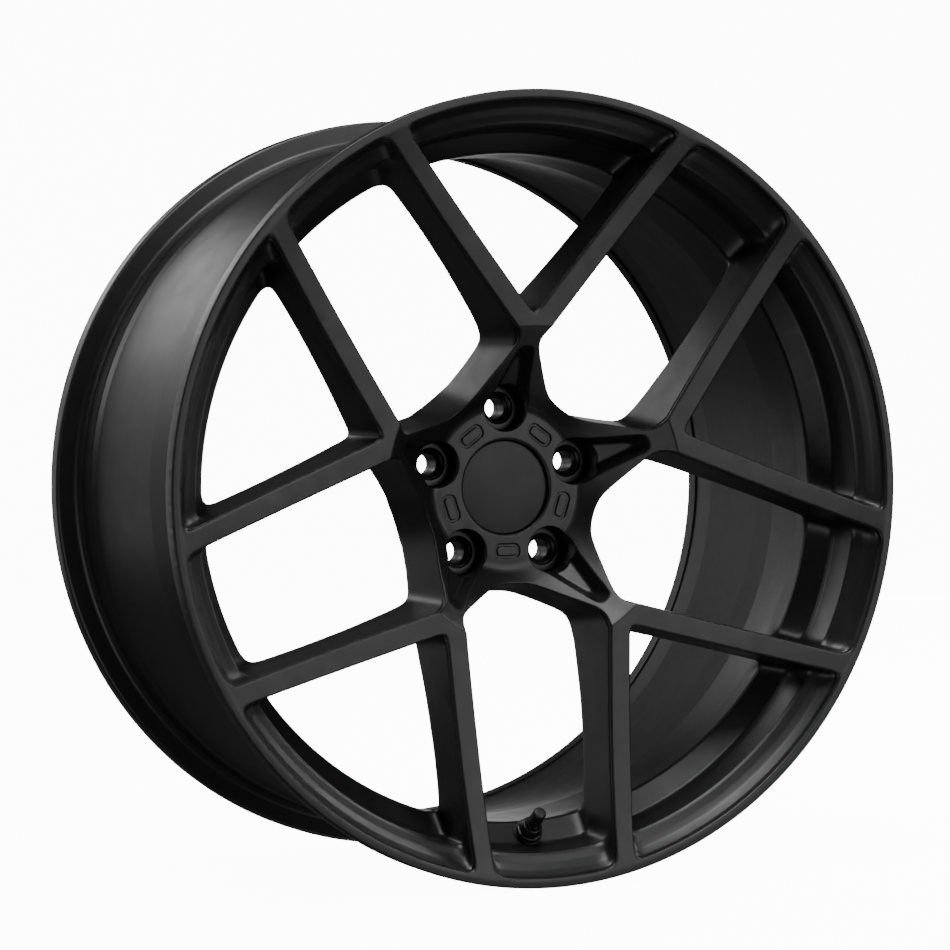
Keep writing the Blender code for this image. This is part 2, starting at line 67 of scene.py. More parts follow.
# Hub
ARMS = 5
ARM_PITCH = math.radians(72)
HALF_PITCH = ARM_PITCH / 2
FIRST_ARM = math.radians(90)
BOLT_CIRCLE_RADIUS = 0.0560
HUB_FACE = -0.0620
MOUNTING_FACE = -0.0240
PILOT_BORE_RADIUS = 0.0333
PILOT_BORE_END = -0.0440
CAP_SEAT_RADIUS = 0.0334
CAP_SEAT_FLOOR = -0.0520
CAP_SNAP_RADIUS = 0.0296
CAP_FACE = -0.0582
CAP_FACE_THICKNESS = 0.0014
CAP_PLATE_RADIUS = 0.0331

# Lug bores and seats
COUNTERBORE_RADIUS = 0.0166
SEAT_SHELF = -0.0472
SEAT_FLANGE_RADIUS = 0.0158
SEAT_FLANGE_THICKNESS = 0.0020
SEAT_SLEEVE_RADIUS = 0.0125
SEAT_SLEEVE_LENGTH = 0.0160
SEAT_MOUTH_RADIUS = 0.0112
STUD_HOLE_RADIUS = 0.0074

# Spokes
CROTCH_RADIUS = 0.1193
BRANCH_ANGLE = math.radians(39)
PLATE_FACE = -0.1140

# Valve, with heights along its own axis from the drop wall
VALVE_ANGLE = math.radians(270)
VALVE_SEAT_RADIUS = 0.2415
VALVE_SEAT_Y = -0.0879
VALVE_LEAN = math.radians(52)
VALVE_HOLE_RADIUS = 0.0059
WALL_AT_VALVE = 0.0062
SPOT_FACE_RELIEF = 0.0004
HEAD_TOP = -WALL_AT_VALVE - 0.0030
STEM_SHANK_RADIUS = 0.0055
STEM_TIP = 0.0240
STEM_THREAD_RADIUS = 0.0036
CORE_THREAD_RADIUS = 0.0026
CORE_TOP = 0.0225
CORE_END = 0.0020
PIN_RADIUS = 0.0008
NUT_LOW = 0.0014
NUT_HALF_ACROSS_FLATS = 0.0075
VALVE_CAP_SKIRT = 0.0155
VALVE_CAP_TOP = 0.0275
VALVE_CAP_BORE_RADIUS = 0.0042
VALVE_CAP_CEILING = STEM_TIP + 0.0016

FIT = 0.0003

# Fillet radii on the forging
FACE_EDGE_FILLET = 0.0011
REAR_EDGE_FILLET = 0.0030
ROOT_FILLET = 0.0075
BORE_EDGE_FILLET = 0.0007
CROTCH_FILLET = 0.0050
SHOULDER_FILLET = 0.0130
HUB_SIDE_FILLET = 0.0400
POCKET_EDGE_FILLET = 0.0020
POCKET_TIP_FILLET = 0.0060
POCKET_FLOOR_FILLET = 0.0025
HUB_GROOVE_BLEND = 0.0005

# The groove that runs behind every spoke's face edge
SPOKE_GROOVE_DEPTH = 0.0007
SPOKE_GROOVE_SETBACK = 0.0030
SPOKE_GROOVE_HALF_WIDTH = 0.0006

# The face mesh ends at this depth on the rim, where the barrel starts, and inside this radius
BARREL_START = -0.0660
SPOKE_ROOT_RADIUS = 0.2325

# Mesh resolution
TURN_CELLS = 130
BARREL_SEGMENTS = 360
CAP_SEGMENTS = 144
FACE_TRIANGLES = 195000
GRADIENT_STEP = 0.00004
SURFACE_STEPS = 2
LONGEST_SURFACE_STEP = 0.0007
LEAST_SLOPE_SQUARED = 0.2

# Studio
SHEET_GLOW = 12
WORLD_STRENGTH = 0.07
CAMERA_ANGLES = (-24.342, 1.335, -0.877)
CAMERA_DISTANCE = 2.2823
CAMERA_TARGET = (0.00367, 0, 0.00769)
CAMERA_LENS = 119.47
CAMERA_SENSOR = 36


# ---------------------------------------------------------------- distance fields


def blend_width(radius, turn_degrees=90):
    """Width of a smooth_max blend that matches a fillet radius between two walls."""
    return 6 * radius * (1 - math.cos(math.radians(turn_degrees) / 2))


def smooth_max(a, b, width):
    """The larger of a and b, rounded where they are within width of each other."""
    overlap = np.maximum(width - np.abs(a - b), 0) / width
    return np.maximum(a, b) + overlap**3 * width / 6


def smooth_min(a, b, width):
    """The smaller of a and b, rounded in the same way."""
    return -smooth_max(-a, -b, width)


def filleted(corners, steps=6):
    """Outline points of (x, y, fillet radius) corners, each corner rounded by an arc."""
    points = []
    count = len(corners)
    for k, (x, y, radius) in enumerate(corners):
        corner = Vector((x, y))
        before = Vector(corners[k - 1][:2]) - corner
        after = Vector(corners[(k + 1) % count][:2]) - corner
        half = before.angle(after) / 2
        if radius == 0 or half > math.radians(89.9):
            points.append(corner)
            continue
        reach = min(radius / math.tan(half), 0.48 * before.length, 0.48 * after.length)
        radius = reach * math.tan(half)
        bisector = (before.normalized() + after.normalized()).normalized()
        centre = corner + bisector * (radius / math.sin(half))
        start = corner + before.normalized() * reach - centre
        end = corner + after.normalized() * reach - centre
        sweep = start.angle_signed(end)
        for s in range(steps + 1):
            points.append(centre + Matrix.Rotation(-sweep * s / steps, 2) @ start)
    return np.array([tuple(p) for p in points])


def outline_distance(x, y, outline):
    """Distance to a closed outline, negative inside it."""
    nearest = np.full(np.broadcast(x, y).shape, np.inf)
    inside = np.zeros(nearest.shape, bool)
    for (ax, ay), (bx, by) in zip(outline, np.roll(outline, -1, axis=0)):
        ex, ey = bx - ax, by - ay
        if ex == 0 and ey == 0:
            continue
        wx, wy = x - ax, y - ay
        t = np.clip((wx * ex + wy * ey) / (ex * ex + ey * ey), 0, 1)
        nearest = np.minimum(nearest, (wx - ex * t) ** 2 + (wy - ey * t) ** 2)
        if ey != 0:
            inside ^= ((ay > y) != (by > y)) & (wx < ex * wy / ey)
    return np.where(inside, -1, 1) * np.sqrt(nearest)


# Sections are (radius, y, fillet). The skin is the wheel's outside, as if solid to its axis.
SKIN = filleted([
    (0, HUB_FACE, 0),
    (0.0500, HUB_FACE, 0.030),
    (0.0580, -0.0616, 0.010),
    (0.0680, -0.0718, 0.020),
    (0.0800, -0.0828, 0.060),
    (0.1082, -0.1097, 0.03),
    (0.1120, -0.1135, 0.0025),
    (0.1220, -0.1140, 0.2),
    (0.1600, -0.1175, 0.8),
    (0.2000, -0.1222, 0.8),
    (0.2400, -0.1290, 0.8),
    (0.2620, -0.1340, 0.3),
    (0.2685, FRONT, 0.2),
    (FLANGE_RADIUS, FRONT, 0.0012),
    (FLANGE_RADIUS, FRONT + 0.0148, 0.0030),
    (0.2600, FRONT + 0.0162, 0.0045),
    (BEAD_SEAT_RADIUS, FRONT + 0.0215, 0.003),
    (0.2550, FRONT + 0.0375, 0.004),
    (0.2556, FRONT + 0.0430, 0.003),
    (0.2402, -0.0790, 0.010),
    (DROP_CENTRE_RADIUS, -0.0730, 0.010),
    (DROP_CENTRE_RADIUS, -0.0330, 0.05),
    (0.2435, 0.0000, 0.10),
    (0.2536, REAR - 0.0460, 0.008),
    (0.2556, REAR - 0.0400, 0.003),
    (0.2550, REAR - 0.0365, 0.003),
    (BEAD_SEAT_RADIUS, REAR - 0.0215, 0.003),
    (0.2600, REAR - 0.0162, 0.0045),
    (FLANGE_RADIUS, REAR - 0.0148, 0.0030),
    (FLANGE_RADIUS, REAR, 0.0012),
    (0, REAR, 0),
])

# The hollow inside the rim, open at both ends of the wheel.
CAVITY = filleted([
    (0, -0.1700, 0),
    (0.2784, -0.1700, 0),
    (0.2658, -0.1312, 0.006),
    (0.2620, -0.1258, 0.012),
    (0.2575, -0.1222, 0.012),
    (0.2530, -0.1198, 0.004),
    (0.2511, -0.1180, 0.0006),
    (0.2495, -0.0975, 0.004),
    (0.2478, -0.0928, 0.006),
    (0.2348, -0.0826, 0.0012),
    (0.2338, -0.0800, 0.002),
    (0.2340, -0.0310, 0.02),
    (0.2392, 0.0040, 0.02),
    (0.2508, REAR - 0.0380, 0.004),
    (0.2518, REAR - 0.0140, 0.0004),
    (0.2504, REAR - 0.0125, 0.0004),
    (0.2504, REAR - 0.0016, 0.0006),
    (0.2568, REAR + 0.0048, 0),
    (0, REAR + 0.0048, 0),
])

# The room behind the hub and spokes.
BACK_ROOM = filleted([
    (0, MOUNTING_FACE, 0),
    (0.0765, MOUNTING_FACE, 0.0015),
    (0.0790, -0.0275, 0.004),
    (0.0900, -0.0380, 0.02),
    (0.1220, -0.0600, 0.06),
    (0.1600, -0.0730, 0.2),
    (0.2000, -0.0810, 0.2),
    (0.2360, -0.0822, 0),
    (0.3000, -0.0822, 0),
    (0.3000, 0.2, 0),
    (0, 0.2, 0),
])

HUB_BORE = filleted([
    (0, -0.1500, 0),
    (0.1216, -0.1500, 0),
    (CAP_SEAT_RADIUS, HUB_FACE + 0.0010, 0.0008),
    (CAP_SEAT_RADIUS, CAP_SEAT_FLOOR, 0.0003),
    (CAP_SNAP_RADIUS, CAP_SEAT_FLOOR, 0.0003),
    (CAP_SNAP_RADIUS, PILOT_BORE_END, 0.0003),
    (PILOT_BORE_RADIUS, PILOT_BORE_END, 0.0003),
    (PILOT_BORE_RADIUS, MOUNTING_FACE - 0.0010, 0.0003),
    (PILOT_BORE_RADIUS + 0.0110, MOUNTING_FACE + 0.0100, 0),
    (0, MOUNTING_FACE + 0.0100, 0),
])

LUG_BORE = filleted([
    (0, -0.1800, 0),
    (COUNTERBORE_RADIUS, -0.1800, 0),
    (COUNTERBORE_RADIUS, SEAT_SHELF, 0.0008),
    (SEAT_SLEEVE_RADIUS + FIT, SEAT_SHELF, 0.0003),
    (SEAT_SLEEVE_RADIUS + FIT, SEAT_SHELF + SEAT_SLEEVE_LENGTH + FIT, 0.0003),
    (STUD_HOLE_RADIUS + FIT, SEAT_SHELF + SEAT_SLEEVE_LENGTH + FIT, 0.0003),
    (STUD_HOLE_RADIUS + FIT, 0, 0),
    (0, 0, 0),
])

VALVE_HOLE = filleted([
    (0, 0.0060, 0),
    (0.0110, 0.0060, 0),
    (0.0110, -SPOT_FACE_RELIEF, 0.0002),
    (VALVE_HOLE_RADIUS, -SPOT_FACE_RELIEF, 0),
    (VALVE_HOLE_RADIUS, SPOT_FACE_RELIEF - WALL_AT_VALVE, 0),
    (0.0110, SPOT_FACE_RELIEF - WALL_AT_VALVE, 0.0002),
    (0.0110, -WALL_AT_VALVE - 0.0060, 0),
    (0, -WALL_AT_VALVE - 0.0060, 0),
])


def wall(across, out, start, end):
    """Distance to the left of a straight wall from start to end, negative on the left."""
    along = (Vector(end) - Vector(start)).normalized()
    return along.y * (across - start[0]) - along.x * (out - start[1])


def draft(y, depth, degrees):
    """How far a drafted wall has moved in at y from where it stands at depth."""
    return (y - depth) * math.tan(math.radians(degrees))


def fork_window(across, out, y):
    """The window between the two branches of one arm."""
    lean = math.sin(BRANCH_ANGLE) * (out - CROTCH_RADIUS)
    left = -across * math.cos(BRANCH_ANGLE) - lean
    right = across * math.cos(BRANCH_ANGLE) - lean
    sides = smooth_max(left, right, blend_width(CROTCH_FILLET, 102))
    return sides + draft(y, PLATE_FACE, 4)


def arm_window(across, out, y):
    """The window between two arms, in its own middle plane's terms."""
    hub = (0.0160, 0.0670)
    shoulder = (0.0560, 0.0895)
    rim = (0.0430, 0.3000)
    hub_side = hub[1] - out + draft(y, -0.0730, 10)
    shoulder_side = wall(across, out, hub, shoulder) + draft(y, -0.0880, 7)
    branch_side = wall(across, out, shoulder, rim) + draft(y, -0.1180, 4)
    near = smooth_max(hub_side, shoulder_side, blend_width(HUB_SIDE_FILLET, 29))
    return smooth_max(near, branch_side, blend_width(SHOULDER_FILLET, 64))


def arm_pocket(across, out, y):
    """The tapering pocket that runs from a lug bore up its arm."""
    start = (0.0096, 0.0640)
    tip = (0.0020, 0.0935)
    floor_at_start, floor_slope = -0.0585, 0.87
    side_spread, end_spread = 0.42 * 0.92, 0.42 * 1.05
    mouth_out = 0.0580
    height = floor_at_start - floor_slope * (out - start[1]) - y
    floor = -height / math.hypot(1, floor_slope)
    side = wall(across, out, start, tip) - height * side_spread
    end = out - tip[1] - height * end_spread
    walls = smooth_max(side, end, blend_width(POCKET_TIP_FILLET, 75))
    pocket = smooth_max(walls, floor, blend_width(POCKET_FLOOR_FILLET, 70))
    return np.maximum(pocket, mouth_out - out)


def rounded_box(x, y, half_x, half_y, radius):
    """Distance to a rectangle with rounded corners."""
    qx = np.abs(x) - half_x + radius
    qy = np.abs(y) - half_y + radius
    outside = np.hypot(np.maximum(qx, 0), np.maximum(qy, 0))
    return outside + np.minimum(np.maximum(qx, qy), 0) - radius


def hub_groove(across, out, y):
    """The oblong groove around a raised island, between two lug bores."""
    centre_out, depth, floor_blend = 0.0450, 0.0014, 0.0006
    around = rounded_box(across, out - centre_out, 0.0098, 0.0052, 0.0045)
    island = rounded_box(across, out - centre_out, 0.0078, 0.0032, 0.0025)
    ring = np.maximum(around, -island)
    return smooth_max(ring, y - HUB_FACE - depth, floor_blend)


def valve_hole(across, out, y):
    """The valve's drilled hole and its two spot faces, in its window's middle plane's terms."""
    from_out = out - VALVE_SEAT_RADIUS
    from_y = y - VALVE_SEAT_Y
    height = -from_out * math.cos(VALVE_LEAN) - from_y * math.sin(VALVE_LEAN)
    spread = np.sqrt(np.maximum(across**2 + from_out**2 + from_y**2 - height**2, 0))
    return outline_distance(spread, height, VALVE_HOLE)


def sections(r, y):
    """The turned sections' distances: outer skin, rim's inside, spokes' rear and hub bore."""
    skin = outline_distance(r, y, SKIN)
    inside = -outline_distance(r, y, CAVITY)
    rear = -outline_distance(r, y, BACK_ROOM)
    bore = -outline_distance(r, y, HUB_BORE)
    return skin, inside, rear, bore


def forging(turn, r, y, at=None, with_valve=False):
    """Distance to the forging at an angle from an arm's middle plane, negative in the metal."""
    turn = np.abs(turn)
    turn = HALF_PITCH - np.abs(HALF_PITCH - turn)
    skin, inside, rear, bore = at or sections(r, y)
    across, out = r * np.sin(turn), r * np.cos(turn)
    beside = r * np.sin(HALF_PITCH - turn)
    beyond = r * np.cos(HALF_PITCH - turn)

    windows = np.minimum(fork_window(across, out, y), arm_window(beside, beyond, y))
    setback = (-skin - SPOKE_GROOVE_SETBACK) / SPOKE_GROOVE_HALF_WIDTH
    past_hub = r > 0.1
    spokes = SPOKE_GROOVE_DEPTH * np.exp(-(setback**2)) * past_hub - windows
    spokes = smooth_max(spokes, rear, blend_width(REAR_EDGE_FILLET))
    body = smooth_min(inside, spokes, blend_width(ROOT_FILLET))
    body = smooth_max(body, skin, blend_width(FACE_EDGE_FILLET))

    pocket = arm_pocket(across, out, y)
    body = smooth_max(body, -pocket, blend_width(POCKET_EDGE_FILLET, 60))
    lug = outline_distance(np.hypot(across, out - BOLT_CIRCLE_RADIUS), y, LUG_BORE)
    body = smooth_max(body, -lug, blend_width(BORE_EDGE_FILLET))
    body = smooth_max(body, -hub_groove(beside, beyond, y), HUB_GROOVE_BLEND)
    body = smooth_max(body, bore, blend_width(BORE_EDGE_FILLET))
    if with_valve:
        body = np.maximum(body, -valve_hole(beside, beyond, y))
    return body


# ---------------------------------------------------------------- the forging's face


def graded(*spans):
    """Values from each (start, end, step) span in turn."""
    values = [np.arange(start, end - step / 4, step) for start, end, step in spans]
    return np.concatenate(values)


def face_depth(r):
    """The face's y at each radius, followed by the mesh's layers."""
    radii = [0, 0.0580, 0.0680, 0.0800, 0.1082, 0.1120, 0.1220]
    depths = [HUB_FACE, HUB_FACE, -0.0718, -0.0828, -0.1097, -0.1135, -0.1140]
    radii += [0.1600, 0.2000, 0.2400, 0.2620, 0.2685, 0.3000]
    depths += [-0.1175, -0.1222, -0.1290, -0.1340, FRONT, FRONT]
    return np.interp(r, radii, depths)


def local_point(turn, r, y):
    """A half sector's own (across, y, out) of a point at an angle from its arm's middle plane."""
    return np.stack([r * np.sin(turn), y, r * np.cos(turn)], axis=-1)


def gradient(points, with_valve):
    """The field's value and slope at points of one half sector's own frame."""

    def field(p):
        across, y, out = p.T
        return forging(np.arctan2(across, out), np.hypot(across, out), y, None, with_valve)

    here = field(points)
    slope = np.empty_like(points)
    for axis in range(3):
        step = np.zeros(3)
        step[axis] = GRADIENT_STEP
        slope[:, axis] = (field(points + step) - here) / GRADIENT_STEP
    return here, slope


def field_grid():
    """The grid over a half sector, one cell past each mirror plane, and the field on it."""
    turns = (np.arange(TURN_CELLS + 2) - 0.5) * HALF_PITCH / TURN_CELLS
    radii = graded(
        (0.0270, 0.0360, 0.0009),
        (0.0360, 0.0760, 0.0006),
        (0.0760, 0.1250, 0.0010),
        (0.1250, 0.2320, 0.0015),
        (0.2320, 0.2756, 0.0007),
    )
    layers = graded((-0.0016, 0.0060, 0.0005), (0.0060, 0.0300, 0.0012), (0.0300, 0.0725, 0.0014))
    y = face_depth(radii)[:, None] + layers[None, :]
    r = np.broadcast_to(radii[:, None], y.shape)
    at = tuple(part[None] for part in sections(r, y))
    place = (turns[:, None, None], r[None], y[None])
    value = forging(*place, at)
    return [np.broadcast_to(part, value.shape) for part in place], value


def half_sector(place, value, with_valve):
    """Points, quads and the mask of points on a mirror plane, from an arm's plane to a window's."""
    cells = tuple(n - 1 for n in value.shape)
    crossings = np.zeros(cells)
    total = [np.zeros(cells) for _ in range(3)]
    edges = []
    for axis in range(3):
        low = [slice(None)] * 3
        high = [slice(None)] * 3
        low[axis], high[axis] = slice(None, -1), slice(1, None)
        a, b = value[tuple(low)], value[tuple(high)]
        crossed = (a < 0) != (b < 0)
        share = np.where(crossed, a / np.where(crossed, a - b, 1), 0)
        edges.append((crossed, a < 0))
        found = [(p[tuple(low)] * (1 - share) + p[tuple(high)] * share) * crossed for p in place]
        others = [k for k in range(3) if k != axis]
        for first in (slice(None, -1), slice(1, None)):
            for second in (slice(None, -1), slice(1, None)):
                part = [slice(None)] * 3
                part[others[0]], part[others[1]] = first, second
                crossings += crossed[tuple(part)]
                for k in range(3):
                    total[k] += found[k][tuple(part)]

    active = crossings > 0
    number = np.full(cells, -1)
    number[active] = np.arange(active.sum())
    turn, radius, depth = (t[active] / crossings[active] for t in total)
    cell_turn = np.nonzero(active)[0]
    on_arm, on_window = cell_turn == 0, cell_turn == TURN_CELLS
    turn[on_arm], turn[on_window] = 0, HALF_PITCH

    quads = []
    for axis, (crossed, rising) in enumerate(edges):
        i, j, k = np.nonzero(crossed)
        others = [n for n in range(3) if n != axis]
        index = np.stack([i, j, k])
        limits = [cells[n] for n in range(3)]
        keep = np.ones(len(i), bool)
        for n in others:
            keep &= (index[n] > 0) & (index[n] < limits[n])
        index = index[:, keep]
        solid_first = rising[crossed][keep]
        corners = []
        for du, dv in ((1, 1), (0, 1), (0, 0), (1, 0)):
            cell = index.copy()
            cell[others[0]] -= du
            cell[others[1]] -= dv
            corners.append(number[tuple(cell)])
        quad = np.stack(corners, axis=1)
        flip = ~solid_first if axis == 1 else solid_first
        quad[flip] = quad[flip][:, ::-1]
        quads.append(quad)
    quads = np.concatenate(quads)

    points = local_point(turn, radius, depth)
    normal = np.array([math.cos(HALF_PITCH), 0, -math.sin(HALF_PITCH)])
    for _ in range(SURFACE_STEPS):
        distance, slope = gradient(points, with_valve)
        steepness = np.maximum((slope**2).sum(1), LEAST_SLOPE_SQUARED)
        move = slope * (distance / steepness)[:, None]
        reach = np.linalg.norm(move, axis=1)
        move *= np.minimum(1, LONGEST_SURFACE_STEP / np.maximum(reach, 1e-9))[:, None]
        points -= move
        points[on_arm, 0] = 0
        points[on_window] -= (points[on_window] @ normal)[:, None] * normal
        points[:, 1] = np.maximum(points[:, 1], FRONT)

    radius = np.hypot(points[:, 0], points[:, 2])
    in_front = (points[:, 1] < BARREL_START) | (radius < SPOKE_ROOT_RADIUS)
    quads = quads[in_front[quads].all(axis=1)]
    return points, quads, on_arm | on_window


def turned_about_axis(points, angle, mirrored):
    """Carries a half sector's points to the arm at angle, on either side of its middle plane."""
    across, y, out = points.T
    across = -across if mirrored else across
    c, s = math.cos(angle), math.sin(angle)
    return np.stack([out * c - across * s, y, out * s + across * c], axis=1)


def forging_face():
    """The ten half sectors joined into one mesh."""
    place, value = field_grid()
    plain = half_sector(place, value, False)
    from_window = HALF_PITCH - place[0]
    hole = valve_hole(place[1] * np.sin(from_window), place[1] * np.cos(from_window), place[2])
    drilled = half_sector(place, np.maximum(value, -hole), True)
    points, quads, seams, start = [], [], [], 0
    for angle in arm_angles():
        for mirrored in (False, True):
            side = -1 if mirrored else 1
            middle = (angle + side * HALF_PITCH) % (2 * math.pi)
            near_valve = abs(middle - VALVE_ANGLE) < 0.01
            part, faces, seam = drilled if near_valve else plain
            points.append(turned_about_axis(part, angle, mirrored))
            quads.append((faces if mirrored else faces[:, ::-1]) + start)
            seams.append(seam)
            start += len(part)
    points, quads, seams = np.concatenate(points), np.concatenate(quads), np.concatenate(seams)

    seam_points = np.nonzero(seams)[0]
    keys = np.round(points[seam_points], 6)
    _, first, same = np.unique(keys, axis=0, return_index=True, return_inverse=True)
    target = np.arange(len(points))
    target[seam_points] = seam_points[first[same.ravel()]]
    quads = target[quads]
    used, quads = np.unique(quads, return_inverse=True)
    return points[used], quads.reshape(-1, 4)


def mesh_from(name, points, faces):
    """A mesh from an array of points and one of faces with equal numbers of corners."""
    mesh = bpy.data.meshes.new(name)
    mesh.vertices.add(len(points))
    mesh.vertices.foreach_set("co", np.asarray(points, np.float32).ravel())
    sides = faces.shape[1]
    mesh.loops.add(faces.size)
    mesh.loops.foreach_set("vertex_index", faces.astype(np.int32).ravel())
    mesh.polygons.add(len(faces))
    mesh.polygons.foreach_set("loop_start", np.arange(0, faces.size, sides, dtype=np.int32))
    mesh.update(calc_edges=True)
    mesh.validate()
    return mesh


def linked(name, mesh):
    """An object for a mesh, in the scene."""
    piece = bpy.data.objects.new(name, mesh)
    bpy.context.scene.collection.objects.link(piece)
    return piece


def folded_normals(points):
    """The forging's outward direction at points anywhere on the wheel."""
    angle = np.arctan2(points[:, 2], points[:, 0]) - FIRST_ARM
    arm = np.round(angle / ARM_PITCH)
    turn = angle - arm * ARM_PITCH
    mirrored = turn < 0
    local = local_point(np.abs(turn), np.hypot(points[:, 0], points[:, 2]), points[:, 1])
    _, slope = gradient(local, False)
    slope /= np.maximum(np.linalg.norm(slope, axis=1), 1e-9)[:, None]
    across, y, out = slope.T
    across = np.where(mirrored, -across, across)
    a = FIRST_ARM + arm * ARM_PITCH
    c, s = np.cos(a), np.sin(a)
    return np.stack([out * c - across * s, y, out * s + across * c], axis=1)


def wheel_face():
    """The forging in front of the barrel, shaded with the field's own slope."""
    points, quads = forging_face()
    piece = linked("wheel_face", mesh_from("wheel_face", points, quads))
    triangles = 2 * len(quads)
    if triangles > FACE_TRIANGLES:
        thin = piece.modifiers.new("thin", "DECIMATE")
        thin.ratio = FACE_TRIANGLES / triangles
        bpy.context.view_layer.update()
        seen = piece.evaluated_get(bpy.context.evaluated_depsgraph_get())
        thinned = bpy.data.meshes.new_from_object(seen)
        piece.modifiers.clear()
        piece.data = thinned
    mesh = piece.data
    mesh.shade_smooth()
    co = np.empty(len(mesh.vertices) * 3, np.float32)
    mesh.vertices.foreach_get("co", co)
    co[1::3] = np.maximum(co[1::3], np.float32(FRONT))
    mesh.vertices.foreach_set("co", co)
    normals = folded_normals(co.reshape(-1, 3).astype(float))
    mesh.normals_split_custom_set_from_vertices([tuple(n) for n in normals])
    return piece


# ---------------------------------------------------------------- turned pieces


def turned(name, outline, segments, place=None, shape=None, sharp=35):
    """Revolves a closed outline about the local Y axis. shape(radius, y, turn) varies the radius."""
    turns = np.arange(segments) * 2 * math.pi / segments
    points, rings = [], []
    for radius, y in outline:
        on_axis = radius < 1e-9
        start = len(points)
        if on_axis:
            points.append((0, y, 0))
            rings.append([start] * segments)
            continue
        for t in turns:
            reach = shape(radius, y, t) if shape else radius
            points.append((reach * math.cos(t), y, reach * math.sin(t)))
        rings.append(list(range(start, start + segments)))
    faces = []
    for ring, following in zip(rings, rings[1:] + rings[:1]):
        for k in range(segments):
            n = (k + 1) % segments
            corners = list(dict.fromkeys([ring[k], ring[n], following[n], following[k]]))
            if len(corners) > 2:
                faces.append(corners)
    mesh = bpy.data.meshes.new(name)
    mesh.from_pydata(points, [], faces)
    mesh.update()
    outward(mesh)
    mesh.shade_smooth()
    mesh.set_sharp_from_angle(angle=math.radians(sharp))
    piece = linked(name, mesh)
    if place:
        mesh.transform(place)
        outward(mesh)
    return piece


def outward(mesh):
    """Turns a closed mesh's faces to point out of it."""
    bm = bmesh.new()
    bm.from_mesh(mesh)
    bmesh.ops.recalc_face_normals(bm, faces=bm.faces)
    bm.to_mesh(mesh)
    bm.free()


def rounded_section(corners, steps=4):
    """A filleted outline as the list of points that turned() takes."""
    return [tuple(p) for p in filleted(corners, steps)]


def wheel_barrel():
    """The barrel behind the face, turned from the same sections."""
    lap = 0.0040
    under = 0.00003
    outer = [p for p in SKIN if p[1] > BARREL_START and p[0] > 0.2]
    inner = [p for p in CAVITY if BARREL_START < p[1] < REAR and p[0] > 0.2]
    outer_start = DROP_CENTRE_RADIUS
    inner_start = float(np.interp(BARREL_START, [-0.0800, -0.0310], [0.2338, 0.2340]))
    outline = [
        (outer_start - under, BARREL_START - lap),
        (outer_start - under, BARREL_START),
        (outer_start, BARREL_START + 0.0005),
    ]
    outline += [tuple(p) for p in outer]
    outline.append((0.2520, REAR))
    outline += [tuple(p) for p in inner[::-1]]
    outline += [
        (inner_start, BARREL_START + 0.0005),
        (inner_start + under, BARREL_START),
        (inner_start + under, BARREL_START - lap),
    ]
    outline = outline[::-1]
    return turned("wheel_barrel", outline, BARREL_SEGMENTS, sharp=50)


def arm_angles():
    """The arms' directions, clockwise from the top one."""
    return [FIRST_ARM - ARM_PITCH * k for k in range(ARMS)]


def lug_seat(number, angle):
    """A pressed-in steel seat with a rounded flange and a mouth that narrows in two steps."""
    top = SEAT_SHELF - SEAT_FLANGE_THICKNESS
    shelf = SEAT_SHELF - FIT
    end = SEAT_SHELF + SEAT_SLEEVE_LENGTH
    step_radius = (SEAT_MOUTH_RADIUS + STUD_HOLE_RADIUS) / 2
    section = rounded_section([
        (SEAT_MOUTH_RADIUS, top, 0.0006),
        (SEAT_FLANGE_RADIUS, top, 0.0006),
        (SEAT_FLANGE_RADIUS, shelf, 0),
        (SEAT_SLEEVE_RADIUS, shelf, 0),
        (SEAT_SLEEVE_RADIUS, end, 0.0003),
        (STUD_HOLE_RADIUS, end, 0.0003),
        (STUD_HOLE_RADIUS, top + 0.0060, 0.0004),
        (step_radius, top + 0.0048, 0.0004),
        (step_radius, top + 0.0034, 0.0004),
        (SEAT_MOUTH_RADIUS, top + 0.0022, 0.0004),
    ])
    spot = (BOLT_CIRCLE_RADIUS * math.cos(angle), 0, BOLT_CIRCLE_RADIUS * math.sin(angle))
    return turned(f"steel_seat_{number}", section, 96, Matrix.Translation(spot))


def cap_face():
    """The blank disc on the cap's front."""
    back = CAP_FACE + CAP_FACE_THICKNESS
    radius = CAP_PLATE_RADIUS - 0.0002
    section = rounded_section([
        (0, CAP_FACE, 0),
        (radius, CAP_FACE, 0.0006),
        (radius, back, 0.0001),
        (0, back, 0),
    ])
    return turned("trim_disc", section, CAP_SEGMENTS)


